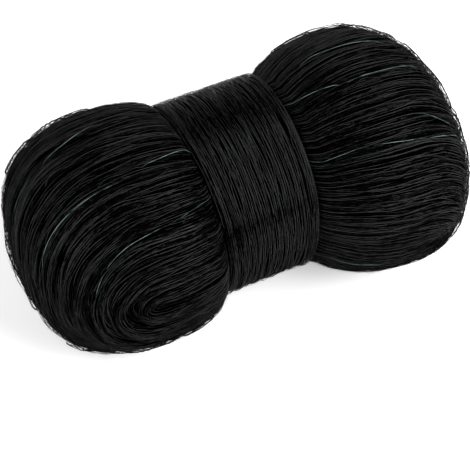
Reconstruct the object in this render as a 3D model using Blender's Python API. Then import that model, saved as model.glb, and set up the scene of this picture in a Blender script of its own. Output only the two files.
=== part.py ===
"""A hank of bird netting: a net folded to and fro into two round lobes, drawn in at
the waist by its own tail, which is wound round the middle as a flat band.

Blender 4.5. Metres, +Z up. The long axis lies along X, the origin is the bottom
centre of the bounding box, and the hank rests on a small flat under each lobe.
"""

import math
from collections import namedtuple

import bmesh
import bpy
from mathutils import Vector

# ---------------------------------------------------------------- driving sizes
WAIST_RADIUS = 0.0690  # of the netting under the band
WAIST_CENTRE = Vector((0.0, 0.0010, 0.0895))
WAIST_CORNERS = 4  # the squeezed waist is a soft four-cornered round
CORNER_RISE = 0.010  # share of the radius that a corner stands proud
CORNER_ANGLE = math.radians(149)  # of one corner, about +X from +Y

BAND_WIDTH = 0.0755  # the wound band, along X
BAND_FLARE = 0.0054  # how much wider it is at the back than at the front
BAND_FLARE_ANGLE = math.radians(37)
BAND_THICKNESS = 0.0060
GAP = 0.0003  # clearance between the two pieces

SHOULDER = 0.0060  # how far past the band the net takes to swell out to its lobe
FLAT_DEPTH = 0.0050  # how far the lobes' undersides are pressed flat

STRAND_LINES = 36  # lines of the mesh from the near eye to the far eye of a lobe
STRAND_STEPS = 36  # steps of each line round the lobe; even, so that eyes close
SHOULDER_STEPS = 3
WAIST_STEPS = 4
BAND_SECTORS = 64

NET_COLOUR = (0.016, 0.017, 0.017, 1.0)
BAND_COLOUR = (0.020, 0.021, 0.021, 1.0)
NET_ROUGHNESS = 0.55
BAND_ROUGHNESS = 0.45

# Each lobe: which end it is, its centre from the waist's middle, its half length
# towards the tip and towards the waist, its radii, how square its outline is (2 is
# an ellipse), how far its tip leans, and how high its eye is, as an angle. The eye is
# the point on the front of the lobe that the folded strands turn round.
Lobe = namedtuple(
    "Lobe",
    "name side centre_x centre_y tip_length inner_length radius_y radius_z "
    "squareness lean_y lean_z eye_angle",
)
LEFT = Lobe(
    "left", -1, 0.0896, 0.0026, 0.0815, 0.0867, 0.0922, 0.0897,
    2.40, 0.0, 0.0, math.radians(4),
)  # fmt: skip
RIGHT = Lobe(
    "right", 1, 0.1087, -0.0085, 0.0625, 0.0920, 0.0982, 0.0947,
    2.34, -0.0045, -0.0038, math.radians(-11),
)  # fmt: skip

# The main twists are soft troughs between bundles of strands. Each row: the trough's
# angle from the near eye in degrees, its depth and half width, how far it wanders
# from side to side in degrees, and where along the strand it is deepest, 0 to 1.
Trough = namedtuple("Trough", "angle depth half_width wander deepest")
LEFT_TROUGHS = [
    Trough(14, 0.0030, 6, 2, 0.30),
    Trough(27, 0.0042, 7, 3, 0.25),
    Trough(44, 0.0034, 6, 4, 0.45),
    Trough(60, 0.0038, 7, -3, 0.60),
    Trough(77, 0.0030, 6, 4, 0.35),
    Trough(94, 0.0036, 7, -4, 0.55),
    Trough(113, 0.0030, 6, 3, 0.40),
    Trough(131, 0.0036, 7, -3, 0.60),
    Trough(152, 0.0030, 7, 2, 0.50),
]
RIGHT_TROUGHS = [
    Trough(13, 0.0034, 6, 2, 0.55),
    Trough(29, 0.0030, 6, -3, 0.45),
    Trough(46, 0.0040, 7, 3, 0.60),
    Trough(63, 0.0030, 6, -4, 0.40),
    Trough(81, 0.0038, 7, 3, 0.55),
    Trough(99, 0.0030, 6, 4, 0.35),
    Trough(118, 0.0036, 7, -3, 0.50),
    Trough(136, 0.0030, 6, 3, 0.45),
    Trough(155, 0.0034, 7, -2, 0.55),
]

# The band's outside across its width: place from its left edge to its right edge,
# -1 to 1, and height over the band's thickness. A bundle of turns stands up at each
# edge, with a groove beside it, and looser turns lie between.
Turn = namedtuple("Turn", "place rise")
BAND_TURNS = [
    Turn(-1.00, -0.0030),
    Turn(-0.98, -0.0008),
    Turn(-0.93, 0.0009),
    Turn(-0.85, 0.0008),
    Turn(-0.79, -0.0007),
    Turn(-0.70, 0.0003),
    Turn(-0.56, 0.0005),
    Turn(-0.46, -0.0003),
    Turn(-0.30, 0.0003),
    Turn(-0.12, -0.0002),
    Turn(0.06, 0.0004),
    Turn(0.22, -0.0002),
    Turn(0.40, 0.0004),
    Turn(0.52, -0.0003),
    Turn(0.64, 0.0004),
    Turn(0.74, -0.0008),
    Turn(0.82, 0.0008),
    Turn(0.93, 0.0011),
    Turn(0.98, -0.0006),
    Turn(1.00, -0.0030),
]


# ---------------------------------------------------------------- the waist
def waist_radius(angle):
    """Radius of the bare waist at an angle about +X, measured from +Y."""
    return WAIST_RADIUS * (
        1 + CORNER_RISE * math.cos(WAIST_CORNERS * (angle - CORNER_ANGLE))
    )


def around_waist(x, angle, radius):
    """The point at that radius and angle about the waist's own axis."""
    return Vector(
        (
            x,
            WAIST_CENTRE.y + radius * math.cos(angle),
            WAIST_CENTRE.z + radius * math.sin(angle),
        )
    )


def band_edge(side, angle):
    """X of the band's edge at an angle. The band is widest at the back."""
    flare = BAND_FLARE * math.cos(angle - BAND_FLARE_ANGLE)
    return side * (BAND_WIDTH + flare) / 2


# ---------------------------------------------------------------- a lobe
def sector_angle(eye_angle, turn):
    """Angle about +X of a strand that is `turn` up from the eye on the front."""
    return math.pi - eye_angle - turn


def mouth_latitude(lobe):
    """How far the lobe goes round towards the waist before its shoulder begins."""
    along = (lobe.centre_x - BAND_WIDTH / 2 - SHOULDER) / lobe.inner_length
    across = (1 - along**lobe.squareness) ** (1 / lobe.squareness)
    return math.atan2(along, across)


def on_ball(turn, share, mouth):
    """A strand's path on a unit ball: straight up from the mouth to the equator,
    round the tip in a plane that faces the eye, and back to the mouth.

    `turn` is the strand's angle from the eye, 0 to pi, and `share` how far along it
    is, 0 to 1. Returns (towards the tip, towards the eye, towards the upper side).
    """
    half_turn = math.pi * math.sin(turn)
    travelled = share * (2 * mouth + half_turn)
    if travelled < mouth or travelled > mouth + half_turn:
        upper = 1 if travelled < mouth else -1
        latitude = min(travelled, 2 * mouth + half_turn - travelled) - mouth
        out = math.cos(latitude)
        return (
            math.sin(latitude),
            out * math.cos(turn),
            upper * out * math.sin(turn),
        )
    bend = (travelled - mouth) / max(math.sin(turn), 1e-9)
    return (
        math.sin(turn) * math.sin(bend),
        math.cos(turn),
        math.sin(turn) * math.cos(bend),
    )


def trough_depth(troughs, turn, share):
    """How deep the troughs are at a place on the lobe."""
    degrees = math.degrees(turn)
    depth = 0.0
    for trough in troughs:
        wander = trough.wander * math.sin(2 * math.pi * (share - trough.deepest))
        off = (degrees - trough.angle - wander) / trough.half_width
        fade = 0.45 + 0.55 * math.cos(math.pi * (share - trough.deepest)) ** 2
        depth += trough.depth * fade * math.exp(-off * off)
    return depth


def lobe_centre(lobe):
    """The lobe's middle. Its underside is pressed flat on the ground."""
    return Vector(
        (lobe.side * lobe.centre_x, lobe.centre_y, lobe.radius_z - FLAT_DEPTH)
    )


def lobe_point(lobe, troughs, turn, share):
    """The point on the lobe's skin on strand `turn`, `share` of the way round."""
    tip, eye, up = on_ball(turn, share, mouth_latitude(lobe))
    equator = math.sqrt(max(0.0, 1 - tip * tip))
    power = lobe.squareness
    fullness = (abs(tip) ** power + equator**power) ** (-1 / power)
    fullness -= trough_depth(troughs, turn, share) / lobe.radius_y
    length = lobe.tip_length if tip > 0 else lobe.inner_length
    tilt_y, tilt_z = math.cos(lobe.eye_angle), math.sin(lobe.eye_angle)
    across = -eye * tilt_y + up * tilt_z
    above = eye * tilt_z + up * tilt_y
    skin = lobe_centre(lobe) + Vector(
        (
            lobe.side * length * tip * fullness,
            lobe.radius_y * across * fullness + lobe.lean_y * tip,
            lobe.radius_z * above * fullness + lobe.lean_z * tip,
        )
    )
    skin.z = max(skin.z, 0.0)
    return skin


def lobe_lines(bm, lobe, troughs):
    """Mesh vertices of the lobe's strand lines, from the near eye to the far eye.

    At both eyes a line folds back on itself, so its two halves share vertices.
    """
    lines = []
    for line in range(STRAND_LINES + 1):
        turn = math.pi * line / STRAND_LINES
        folded = line in (0, STRAND_LINES)
        last = STRAND_STEPS // 2 if folded else STRAND_STEPS
        made = [
            bm.verts.new(lobe_point(lobe, troughs, turn, step / STRAND_STEPS))
            for step in range(last + 1)
        ]
        if folded:
            made += made[-2::-1]
        lines.append(made)
    return lines


def mouth_ring(lines):
    """The lobe's open edge: its strands' starts over the top, their ends below."""
    return [line[0] for line in lines] + [line[-1] for line in lines[-2:0:-1]]


# ---------------------------------------------------------------- mesh helpers
def join_rings(bm, first, second):
    """Faces between two closed rings of as many vertices."""
    count = len(first)
    for here in range(count):
        after = (here + 1) % count
        bm.faces.new((first[here], first[after], second[after], second[here]))


def finish_object(name, bm, colour, roughness):
    """A closed, outward-facing, smooth-shaded object with its own material."""
    bmesh.ops.recalc_face_normals(bm, faces=bm.faces)
    bmesh.ops.triangulate(bm, faces=bm.faces)
    mesh = bpy.data.meshes.new(name)
    bm.to_mesh(mesh)
    bm.free()
    mesh.shade_smooth()
    made = bpy.data.objects.new(name, mesh)
    bpy.context.scene.collection.objects.link(made)
    material = bpy.data.materials.new(name)
    material.use_nodes = True
    shader = material.node_tree.nodes["Principled BSDF"]
    shader.inputs["Base Color"].default_value = colour
    shader.inputs["Roughness"].default_value = roughness
    shader.inputs["Metallic"].default_value = 0.0
    mesh.materials.append(material)
    return made


# ---------------------------------------------------------------- the two pieces
def shoulder_rings(bm, lobe, mouth, waist):
    """Rings that curve from the waist beside the band out to the lobe's mouth."""
    rings = []
    for step in range(1, SHOULDER_STEPS + 1):
        share = step / (SHOULDER_STEPS + 1)
        ring = []
        for low, high in zip(waist, mouth):
            rise = Vector((0, high.co.y - low.co.y, high.co.z - low.co.z))
            bend = low.co + rise * 0.5
            point = (
                low.co * (1 - share) ** 2
                + bend * 2 * share * (1 - share)
                + high.co * share**2
            )
            point.z = max(point.z, 0.0)
            ring.append(bm.verts.new(point))
        rings.append(ring)
    return rings


def waist_ring(bm, share):
    """A ring of the bare waist under the band, `share` from left (0) to right (1)."""
    eye_angle = LEFT.eye_angle + (RIGHT.eye_angle - LEFT.eye_angle) * share
    ring = []
    for sector in range(2 * STRAND_LINES):
        angle = sector_angle(eye_angle, math.pi * sector / STRAND_LINES)
        left = band_edge(-1, angle) - GAP
        right = band_edge(1, angle) + GAP
        x = left + (right - left) * share
        ring.append(bm.verts.new(around_waist(x, angle, waist_radius(angle))))
    return ring


def make_net_hank():
    """The folded netting: left lobe, waist and right lobe as one closed solid."""
    bm = bmesh.new()
    ring_row = [waist_ring(bm, step / WAIST_STEPS) for step in range(WAIST_STEPS + 1)]
    for lobe, troughs, end in ((LEFT, LEFT_TROUGHS, 0), (RIGHT, RIGHT_TROUGHS, -1)):
        lines = lobe_lines(bm, lobe, troughs)
        for one, other in zip(lines, lines[1:]):
            for step in range(STRAND_STEPS):
                bm.faces.new((one[step], one[step + 1], other[step + 1], other[step]))
        mouth = mouth_ring(lines)
        steps = [ring_row[end], *shoulder_rings(bm, lobe, mouth, ring_row[end]), mouth]
        for first, second in zip(steps, steps[1:]):
            join_rings(bm, first, second)
    for first, second in zip(ring_row, ring_row[1:]):
        join_rings(bm, first, second)
    return finish_object("net_hank", bm, NET_COLOUR, NET_ROUGHNESS)


def make_waist_band():
    """The net's tail wound round the waist: one closed ring with raised edges."""
    bm = bmesh.new()
    rings = []
    for turn in BAND_TURNS:
        rings.append((turn.place, BAND_THICKNESS + turn.rise))
    rings.append((BAND_TURNS[-1].place, GAP))
    rings.append((0.0, GAP))
    rings.append((BAND_TURNS[0].place, GAP))
    made = []
    for place, height in rings:
        ring = []
        for sector in range(BAND_SECTORS):
            angle = 2 * math.pi * sector / BAND_SECTORS
            left, right = band_edge(-1, angle), band_edge(1, angle)
            x = (left + right) / 2 + place * (right - left) / 2
            ring.append(
                bm.verts.new(around_waist(x, angle, waist_radius(angle) + height))
            )
        made.append(ring)
    for first, second in zip(made, made[1:] + made[:1]):
        join_rings(bm, first, second)
    return finish_object("waist_band", bm, BAND_COLOUR, BAND_ROUGHNESS)


def centre_on_origin(pieces):
    """Moves the pieces so that the origin is their bottom centre."""
    points = [v.co for piece in pieces for v in piece.data.vertices]
    low = [min(p[k] for p in points) for k in range(3)]
    high = [max(p[k] for p in points) for k in range(3)]
    shift = Vector((-(low[0] + high[0]) / 2, -(low[1] + high[1]) / 2, -low[2]))
    for piece in pieces:
        for vertex in piece.data.vertices:
            vertex.co += shift
        piece.data.update()


def main():
    for old in list(bpy.data.objects):
        bpy.data.objects.remove(old, do_unlink=True)
    centre_on_origin([make_net_hank(), make_waist_band()])


main()
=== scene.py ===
"""The look of a hank of black bird netting: hundreds of fine strands folded round two
lobes, the net's own tail wound round the waist, loose net over the lobes and along the
outline, and a few pale green marker threads. Metres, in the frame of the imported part.
"""

import math
from collections import namedtuple

import bpy
import numpy as np
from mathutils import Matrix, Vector


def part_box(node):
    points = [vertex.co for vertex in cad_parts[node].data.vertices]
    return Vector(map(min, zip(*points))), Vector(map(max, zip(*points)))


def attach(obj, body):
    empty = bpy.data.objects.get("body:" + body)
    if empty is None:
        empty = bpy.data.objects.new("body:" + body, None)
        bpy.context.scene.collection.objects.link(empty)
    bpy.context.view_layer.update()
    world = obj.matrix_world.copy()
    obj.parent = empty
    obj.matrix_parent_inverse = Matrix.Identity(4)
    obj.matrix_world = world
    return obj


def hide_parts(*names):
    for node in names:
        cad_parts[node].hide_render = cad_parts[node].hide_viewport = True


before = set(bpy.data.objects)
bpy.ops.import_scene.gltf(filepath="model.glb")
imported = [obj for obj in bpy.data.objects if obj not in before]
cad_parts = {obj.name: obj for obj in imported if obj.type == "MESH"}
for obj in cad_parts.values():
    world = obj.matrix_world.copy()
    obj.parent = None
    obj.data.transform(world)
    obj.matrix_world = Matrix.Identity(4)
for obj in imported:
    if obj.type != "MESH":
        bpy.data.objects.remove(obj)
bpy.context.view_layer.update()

# ------ sizes
BAND_LOW, BAND_HIGH = (np.array(corner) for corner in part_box("waist_band"))
WAIST = (BAND_LOW + BAND_HIGH) / 2  # the middle of the waist

WAIST_RADIUS = 0.0690  # of the netting under the band
CORNER_RISE = 0.010  # the waist is a soft four-cornered round
CORNER_ANGLE = math.radians(149)
BAND_WIDTH = 0.0755
BAND_FLARE = 0.0054  # the band is this much wider on one side of the waist
BAND_FLARE_ANGLE = math.radians(37)  # the side where it is
SHOULDER = 0.0060  # from the band's edge out to the lobe
FLAT_DEPTH = 0.0050  # how much of a lobe's underside is pressed flat

STRAND_LENGTH = 0.42  # of a strand once round the widest part of a lobe
EYE_GAP = 0.008  # angle between an eye and the strand nearest it
GROUND = 0.0003  # how low the middle of a strand may lie
BAND_POINTS = 96
ROUND = np.linspace(0, 2 * math.pi, BAND_POINTS, endpoint=False)  # the waist


def table(names, *rows):
    """A list of rows whose columns have these names."""
    Row = namedtuple("Row", names)
    return [Row(*row) for row in rows]


# Soft troughs between the main twists: the angle from the near eye in degrees, the
# depth in metres, the half width and the sideways wander in degrees, and how far along
# the strands, 0 to 1, each is deepest.
TROUGH = "angle depth half_width wander deepest"
LEFT_TROUGHS = table(
    TROUGH,
    (9, 0.003, 6, 2, 0.3),
    (22, 0.0042, 7, 3, 0.25),
    (39, 0.0034, 6, 4, 0.45),
    (55, 0.0038, 7, -3, 0.6),
    (72, 0.003, 6, 4, 0.35),
    (89, 0.0036, 7, -4, 0.55),
    (108, 0.003, 6, 3, 0.4),
    (126, 0.0036, 7, -3, 0.6),
    (147, 0.003, 7, 2, 0.5),
)
RIGHT_TROUGHS = table(
    TROUGH,
    (13, 0.0034, 6, 2, 0.55),
    (29, 0.003, 6, -3, 0.45),
    (46, 0.004, 7, 3, 0.6),
    (63, 0.003, 6, -4, 0.4),
    (81, 0.0038, 7, 3, 0.55),
    (99, 0.003, 6, 4, 0.35),
    (118, 0.0036, 7, -3, 0.5),
    (136, 0.003, 6, 3, 0.45),
    (155, 0.0034, 7, -2, 0.55),
)
TROUGH_LEAST = 0.45  # its depth where it is shallowest, as a share of its deepest
TROUGH_RUN_OUT = 0.14  # it runs out over this share of the strands, at the band,
TROUGH_LEFT_OVER = 0.1  # down to this share of its depth

# Hollows and rises where strands part or crowd: the middle as an angle from
# the near eye in degrees and a share of the strand's length, the half width in degrees,
# the half length as a share, how the angle leans along the strand, how deep it goes and
# how much lighter the strands in it are painted: painted shade in the hollows and by the
# band, and painted light on the rises.
PATCH = "angle share wide long lean depth light"
LEFT_PATCHES = table(
    PATCH,
    (10, 0.5, 26, 0.26, 0, 0, -0.18),
    (0, 0.6, 5, 0.18, 0, 0.005, -0.85),
    (7, 0.52, 1.8, 0.2, 0, -0.0008, -0.05),
    (12.5, 0.56, 2.1, 0.17, 8, 0.0046, -0.75),
    (13, 0.5, 3.2, 0.07, 0, 0.0018, -0.6),
    (18, 0.57, 2.2, 0.22, 20, -0.001, 0.12),
    (24, 0.6, 2.5, 0.22, 30, 0.0044, -0.7),
    (34, 0.56, 2.2, 0.16, 20, 0.0028, -0.45),
    (70, 0.51, 5, 0.035, 0, 0.0045, -0.2),
    (22, 0.3, 6, 0.05, 0, 0.0012, -0.25),
    (79, 0.2, 8, 0.05, 0, 0.0016, -0.3),
    (91, 0.19, 9, 0.06, 0, 0.001, -0.65),
    (67, 0.19, 6, 0.05, 0, 0.0012, -0.3),
    (44, 0.21, 9, 0.06, 0, 0.0014, -0.52),
    (39, 0.2, 3, 0.1, -45, 0.0012, -0.45),
    (55, 0.35, 6, 0.03, 0, -0.001, 0.6),
    (54, 0.06, 5, 0.04, 0, -0.0006, 0.6),
    (36, 0.07, 4, 0.04, 0, -0.0006, 0.65),
    (46, 0.49, 6, 0.06, 0, 0.0008, -0.55),
    (6, 0.8, 5, 0.06, 0, 0.0008, -0.5),
    (10, 0.29, 3, 0.07, 0, -0.0008, 0.5),
    (120, 0.33, 6, 0.04, 0, -0.0002, 0.3),
    (22, 0.22, 4, 0.04, 0, 0.0006, -0.25),
    (60, 0.31, 9, 0.06, 0, -0.0014, 0.25),
    (45, 0.43, 9, 0.04, 0, 0.0014, -0.25),
    (32, 0.41, 4, 0.04, 0, 0.001, -0.2),
    (24, 0.49, 7, 0.05, 0, 0.001, -0.15),
    (26, 0.15, 7, 0.05, 0, -0.0006, 0.12),
    (45, 0.31, 8, 0.05, 0, -0.0006, 0.12),
    (76, 0.12, 8, 0.04, 0, -0.0004, 0.1),
    (84, 0.28, 6, 0.05, 0, -0.0004, 0.1),
    (30, 0, 26, 0.06, 0, 0.001, -0.85),
    (89, 0.01, 9, 0.04, 0, 0.0004, -0.5),
    (62, 0.02, 8, 0.05, 0, 0.0006, -0.3),
    (112, 0.5, 9, 0.06, 0, 0.0016, -0.25),
    (139, 0.38, 7, 0.06, 0, 0.0016, -0.25),
    (168, 0.45, 3, 0.14, 8, 0.0022, -0.3),
    (180, 0.5, 4, 0.14, 0, 0.003, -0.4),
)
RIGHT_PATCHES = table(
    PATCH,
    (66, 0.035, 38, 0.05, 0, 0.001, -0.38),
    (13, 0.22, 2.6, 0.06, 0, 0.0026, -0.8),
    (19, 0.27, 3.2, 0.06, 0, 0.0024, -0.8),
    (14, 0.12, 8, 0.1, 0, 0.0004, -0.18),
    (94, 0.04, 9, 0.05, 0, 0.0006, -0.65),
    (60, 0.03, 7, 0.035, 0, 0.0006, -0.55),
    (58, 0.24, 6, 0.03, 0, 0.0006, -0.3),
    (27, 0.11, 4, 0.04, 0, -0.0004, 0.25),
    (124, 0.16, 8, 0.06, 0, -0.0004, 0.45),
    (50, 0.15, 6, 0.08, 0, -0.0014, 0.3),
    (68, 0.15, 6, 0.06, 0, -0.0012, 0.3),
    (103, 0.11, 7, 0.05, 0, -0.001, 0.3),
    (80, 0.15, 7, 0.06, 0, -0.001, 0.3),
    (80, 0.29, 7, 0.04, 0, 0.0012, -0.2),
    (29, 0.32, 6, 0.04, 0, 0.0012, -0.2),
    (0, 0.5, 7, 0.18, 0, 0.004, -0.35),
    (24, 0.3, 5, 0.06, 40, -0.0008, 0.2),
    (34, 0.17, 9, 0.07, 0, -0.0006, 0.15),
    (120, 0.46, 8, 0.06, 0, 0.0016, -0.25),
    (146, 0.6, 8, 0.06, 0, 0.0016, -0.25),
    (170, 0.54, 3, 0.14, -8, 0.0022, -0.3),
    (180, 0.5, 4, 0.14, 0, 0.003, -0.4),
)

# A lobe is a ball swollen by its squareness. Its middle lies centre_x out from the
# waist, and its tip leans. Strands run from the band round the tip and back, laid about
# two eyes, the near one eye_angle above level. Where reach is under 1, the loops
# nearest an eye are long and narrow. ropes is how strongly the strands gather.
# The column after ropes is a painted shade on a whole lobe: the left lobe's strands are
# painted darker, as if less light fell on it.
LEFT, RIGHT = table(
    "name side centre_x centre_y tip_length inner_length radius_y radius_z squareness "
    "lean_y lean_z eye_angle reach ropes tone seed troughs patches",
    ("left", -1, 0.0896, 0.0016, 0.0815, 0.0867, 0.0922, 0.0897, 2.4,
     0, 0, math.radians(9), 0.7, 1, -0.16, 11, LEFT_TROUGHS, LEFT_PATCHES),
    ("right", 1, 0.1087, -0.0095, 0.0625, 0.092, 0.0982, 0.0947, 2.34,
     -0.0045, -0.0038, math.radians(-11), 0.55, 0.55, 0, 23,
     RIGHT_TROUGHS, RIGHT_PATCHES),
)  # fmt: skip


# ------ noise and small helpers
def ripple(seed, across, along, x, y, waves=8):
    """Smooth noise between about -1 and 1, with its own length across and along."""
    rng = np.random.default_rng(seed)
    total = 0.0
    for _ in range(waves):
        kx = rng.uniform(0.5, 1.5) * rng.choice((-1, 1)) * 2 * math.pi / across
        ky = rng.uniform(0.3, 1.4) * 2 * math.pi / along
        total = total + np.sin(kx * x + ky * y + rng.uniform(0, 2 * math.pi))
    return total / math.sqrt(waves)


def wobble(rng, count, s, longest, shortest, waves=4):
    """A smooth random line for each of `count` strands along s, about -1 to 1."""
    total = np.zeros((count, s.shape[-1]))
    for _ in range(waves):
        length = np.exp(rng.uniform(math.log(shortest), math.log(longest), (count, 1)))
        phase = rng.uniform(0, 2 * math.pi, (count, 1))
        total += np.sin(2 * math.pi * s / length + phase)
    return total / math.sqrt(waves)


def between(first, last, share):
    return first + (last - first) * share


def stacked(*parts):
    return np.stack(parts, -1)


def unit(v):
    return v / np.maximum(np.linalg.norm(v, axis=-1, keepdims=True), 1e-12)


def from_ends(share):
    """How far a share, 0 to 1, is from the nearer of the two."""
    return np.minimum(share, 1 - share)


# ------ the hank's skin
def waist_radius(angle):
    return WAIST_RADIUS * (1 + CORNER_RISE * np.cos(4 * (angle - CORNER_ANGLE)))


def around_waist(x, angle, radius):
    """Points at that radius and angle about the waist's own axis."""
    x, angle, radius = np.broadcast_arrays(x, angle, radius)
    return WAIST + stacked(x, radius * np.cos(angle), radius * np.sin(angle))


def band_edge(side, angle):
    return side * (BAND_WIDTH + BAND_FLARE * np.cos(angle - BAND_FLARE_ANGLE)) / 2


def on_ball(turn, share, mouth, reach):
    """A strand's path on a unit ball: up to the equator, round the tip in a long loop
    that faces the eye, and back. Towards the tip, the eye and up.

    reach is under 1 where the loops nearest the eye are long and narrow."""
    height = np.sin(turn)
    length = height ** (reach + (1 - reach) * height**2)
    half_loop = math.pi * np.sqrt((height**2 + length**2) / 2)
    travelled = share * (2 * mouth + half_loop)
    on_neck = (travelled < mouth) | (travelled > mouth + half_loop)
    latitude = np.minimum(travelled, 2 * mouth + half_loop - travelled) - mouth
    bend = math.pi * (travelled - mouth) / half_loop
    upper = np.where(travelled < mouth, 1.0, -1.0)
    tip = np.where(on_neck, np.sin(latitude), length * np.sin(bend))
    up = height * np.where(on_neck, upper * np.cos(latitude), np.cos(bend))
    eye = np.sign(np.cos(turn)) * np.sqrt(np.maximum(0, 1 - tip**2 - up**2))
    return tip, eye, up


def mouth_latitude(lobe):
    """How far round the ball the lobe is open towards the waist."""
    along = (lobe.centre_x - BAND_WIDTH / 2 - SHOULDER) / lobe.inner_length
    across = (1 - along**lobe.squareness) ** (1 / lobe.squareness)
    return math.atan2(along, across)


def trough_depth(lobe, turn, share):
    degrees = np.degrees(turn)
    from_band = from_ends(share)
    depth = 0.0
    for trough in lobe.troughs:
        wander = trough.wander * np.sin(2 * math.pi * (share - trough.deepest))
        off = (degrees - trough.angle - wander) / trough.half_width
        swell = np.cos(math.pi * (share - trough.deepest)) ** 2
        fade = TROUGH_LEAST + (1 - TROUGH_LEAST) * swell
        fade = fade * np.clip(from_band / TROUGH_RUN_OUT, TROUGH_LEFT_OVER, 1)
        depth = depth + trough.depth * fade * np.exp(-off * off)
    return depth * lobe.ropes


def patches(lobe, turn, share):
    """How deep the hollows are there, in metres, and how much lighter it is painted:
    painted shade in the hollows and painted light on the rises.
    """
    degrees = np.degrees(turn)
    depth, light = 0.0, 0.0
    for patch in lobe.patches:
        along = (share - patch.share) / patch.long
        across = degrees - patch.angle - patch.lean * (share - patch.share)
        near = np.exp(-((across / patch.wide) ** 2) - along**2)
        depth = depth + patch.depth * near
        light = light + patch.light * near
    return depth, light


def lobe_skin(lobe, turn, share, height):
    """Points `height` above the lobe's skin, and the skin's outward direction."""
    turn, share, height = np.broadcast_arrays(turn, share, height)
    tip, eye, up = on_ball(turn, share, mouth_latitude(lobe), lobe.reach)
    equator = np.sqrt(np.maximum(0.0, 1 - tip * tip))
    power = lobe.squareness
    fullness = (np.abs(tip) ** power + equator**power) ** (-1 / power)
    steep_tip = np.sign(tip) * np.abs(tip * fullness) ** (power - 1)
    steep_side = (equator * fullness) ** (power - 1) / np.maximum(equator, 1e-9)
    hollow = trough_depth(lobe, turn, share) + patches(lobe, turn, share)[0]
    fullness = fullness - hollow / lobe.radius_y
    length = np.where(tip > 0, lobe.tip_length, lobe.inner_length)
    tilt_y, tilt_z = math.cos(lobe.eye_angle), math.sin(lobe.eye_angle)
    across = -eye * tilt_y + up * tilt_z
    above = eye * tilt_z + up * tilt_y
    out = stacked(
        lobe.side * steep_tip / length,
        steep_side * across / lobe.radius_y,
        steep_side * above / lobe.radius_z,
    )
    out = unit(out)
    middle_y = WAIST[1] + lobe.centre_y
    middle_z = lobe.radius_z - FLAT_DEPTH
    skin = stacked(
        WAIST[0] + lobe.side * (lobe.centre_x + length * tip * fullness),
        middle_y + lobe.radius_y * across * fullness + lobe.lean_y * tip,
        middle_z + lobe.radius_z * above * fullness + lobe.lean_z * tip,
    )
    return skin + out * height[..., None], out


NECK_POINTS = 5
NECK_BEND = np.array([0.08, 0.5, 0.5])  # it leaves the band steeply
TUCK = 0.005  # how far under the band a strand goes


def neck(lobe, turn, mouth_point, sunk):
    """Points from under the band out to the lobe's mouth, for one end of a strand.

    `turn` is signed: plus for the upper end of a strand and minus for the lower."""
    angle = math.pi - lobe.eye_angle - turn
    x = band_edge(lobe.side, angle)
    low = around_waist(x, angle, waist_radius(angle) - sunk)
    inside = low - np.array([lobe.side * TUCK, 0, 0])
    bend = low + (mouth_point - low) * NECK_BEND
    share = np.linspace(0, 1, NECK_POINTS, endpoint=False)[:, None]
    low, bend, high = low[:, None], bend[:, None], mouth_point[:, None]
    curve = low * (1 - share) ** 2 + bend * 2 * share * (1 - share) + high * share**2
    return np.concatenate([inside[:, None], curve], axis=1)


def above_ground(points):
    """The same points, none of them below the ground."""
    raised = points.copy()
    raised[..., 2] = np.maximum(raised[..., 2], GROUND)
    return raised


def strand_points(lobe, turn, share, height, sunk=0.0):
    """Whole strands: from under the band, round the lobe, and back under the band.

    turn, share and height together fill (strands, points). Returns points and
    directions out."""
    on_lobe, out = lobe_skin(lobe, turn, share, height)
    on_lobe = above_ground(on_lobe)
    first = neck(lobe, turn[:, 0], on_lobe[:, 0], sunk)
    last = neck(lobe, -turn[:, -1], on_lobe[:, -1], sunk)[:, ::-1]
    points = np.concatenate([first, on_lobe, last], axis=1)
    return above_ground(points), padded_ends(out)


def padded_ends(values):
    """Repeats each strand's end values along its two necks."""
    ends = NECK_POINTS + 1
    first = np.repeat(values[:, :1], ends, axis=1)
    last = np.repeat(values[:, -1:], ends, axis=1)
    return np.concatenate([first, values, last], axis=1)


# ------ mesh helpers
GOLDEN = 0.618034  # steps of this, past the whole number, fill 0 to 1 evenly
MAP_MARGIN = 0.15  # free on each side of a strand's strip in the bake's map, in sides
MAP_SIDE = 0.90  # how much of its place there a side fills
MAP_GAP = 0.02  # free at each end of a step
CAP_LENGTH = 0.0005  # of an end's place in the map
CAP_WIDTH = 0.0002


def new_object(name, data):
    made = bpy.data.objects.new(name, data)
    bpy.context.scene.collection.objects.link(made)
    return made


def new_mesh(name, points, faces, material, shade, own=None, places=None):
    """A mesh object from arrays. faces is (n, 3) or (n, 4)."""
    mesh = bpy.data.meshes.new(name)
    sides = faces.shape[1]
    mesh.vertices.add(len(points))
    mesh.vertices.foreach_set("co", points.astype(np.float32).ravel())
    mesh.loops.add(faces.size)
    mesh.loops.foreach_set("vertex_index", faces.astype(np.int32).ravel())
    mesh.polygons.add(len(faces))
    mesh.polygons.foreach_set("loop_start", np.arange(0, faces.size, sides))
    mesh.polygons.foreach_set("use_smooth", np.full(len(faces), True))
    mesh.update(calc_edges=True)
    if places is not None:
        layer = mesh.uv_layers.new(name="OFBake")
        layer.uv.foreach_set("vector", places.astype(np.float32).ravel())
    for kind, values in (("shade", shade), ("own", own)):
        if values is not None:
            held = mesh.attributes.new(kind, "FLOAT", "POINT")
            held.data.foreach_set("value", values.astype(np.float32))
    mesh.materials.append(material)
    return new_object(name, mesh)


def tube_rings(points, out, radius, sides, closed):
    """The corners of each tube's cross sections: (strands, points, sides, 3)."""
    if closed:
        along = unit(np.roll(points, -1, 1) - np.roll(points, 1, 1))
    else:
        along = unit(np.gradient(points, axis=1))
    across = unit(np.cross(along, out))
    above = np.cross(across, along)
    turn = 2 * math.pi * (np.arange(sides) + 0.25) / sides
    radius = np.broadcast_to(radius, points.shape[:2])[..., None, None]
    return (
        points[:, :, None]
        + radius * np.cos(turn)[:, None] * across[:, :, None]
        + radius * np.sin(turn)[:, None] * above[:, :, None]
    )


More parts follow.
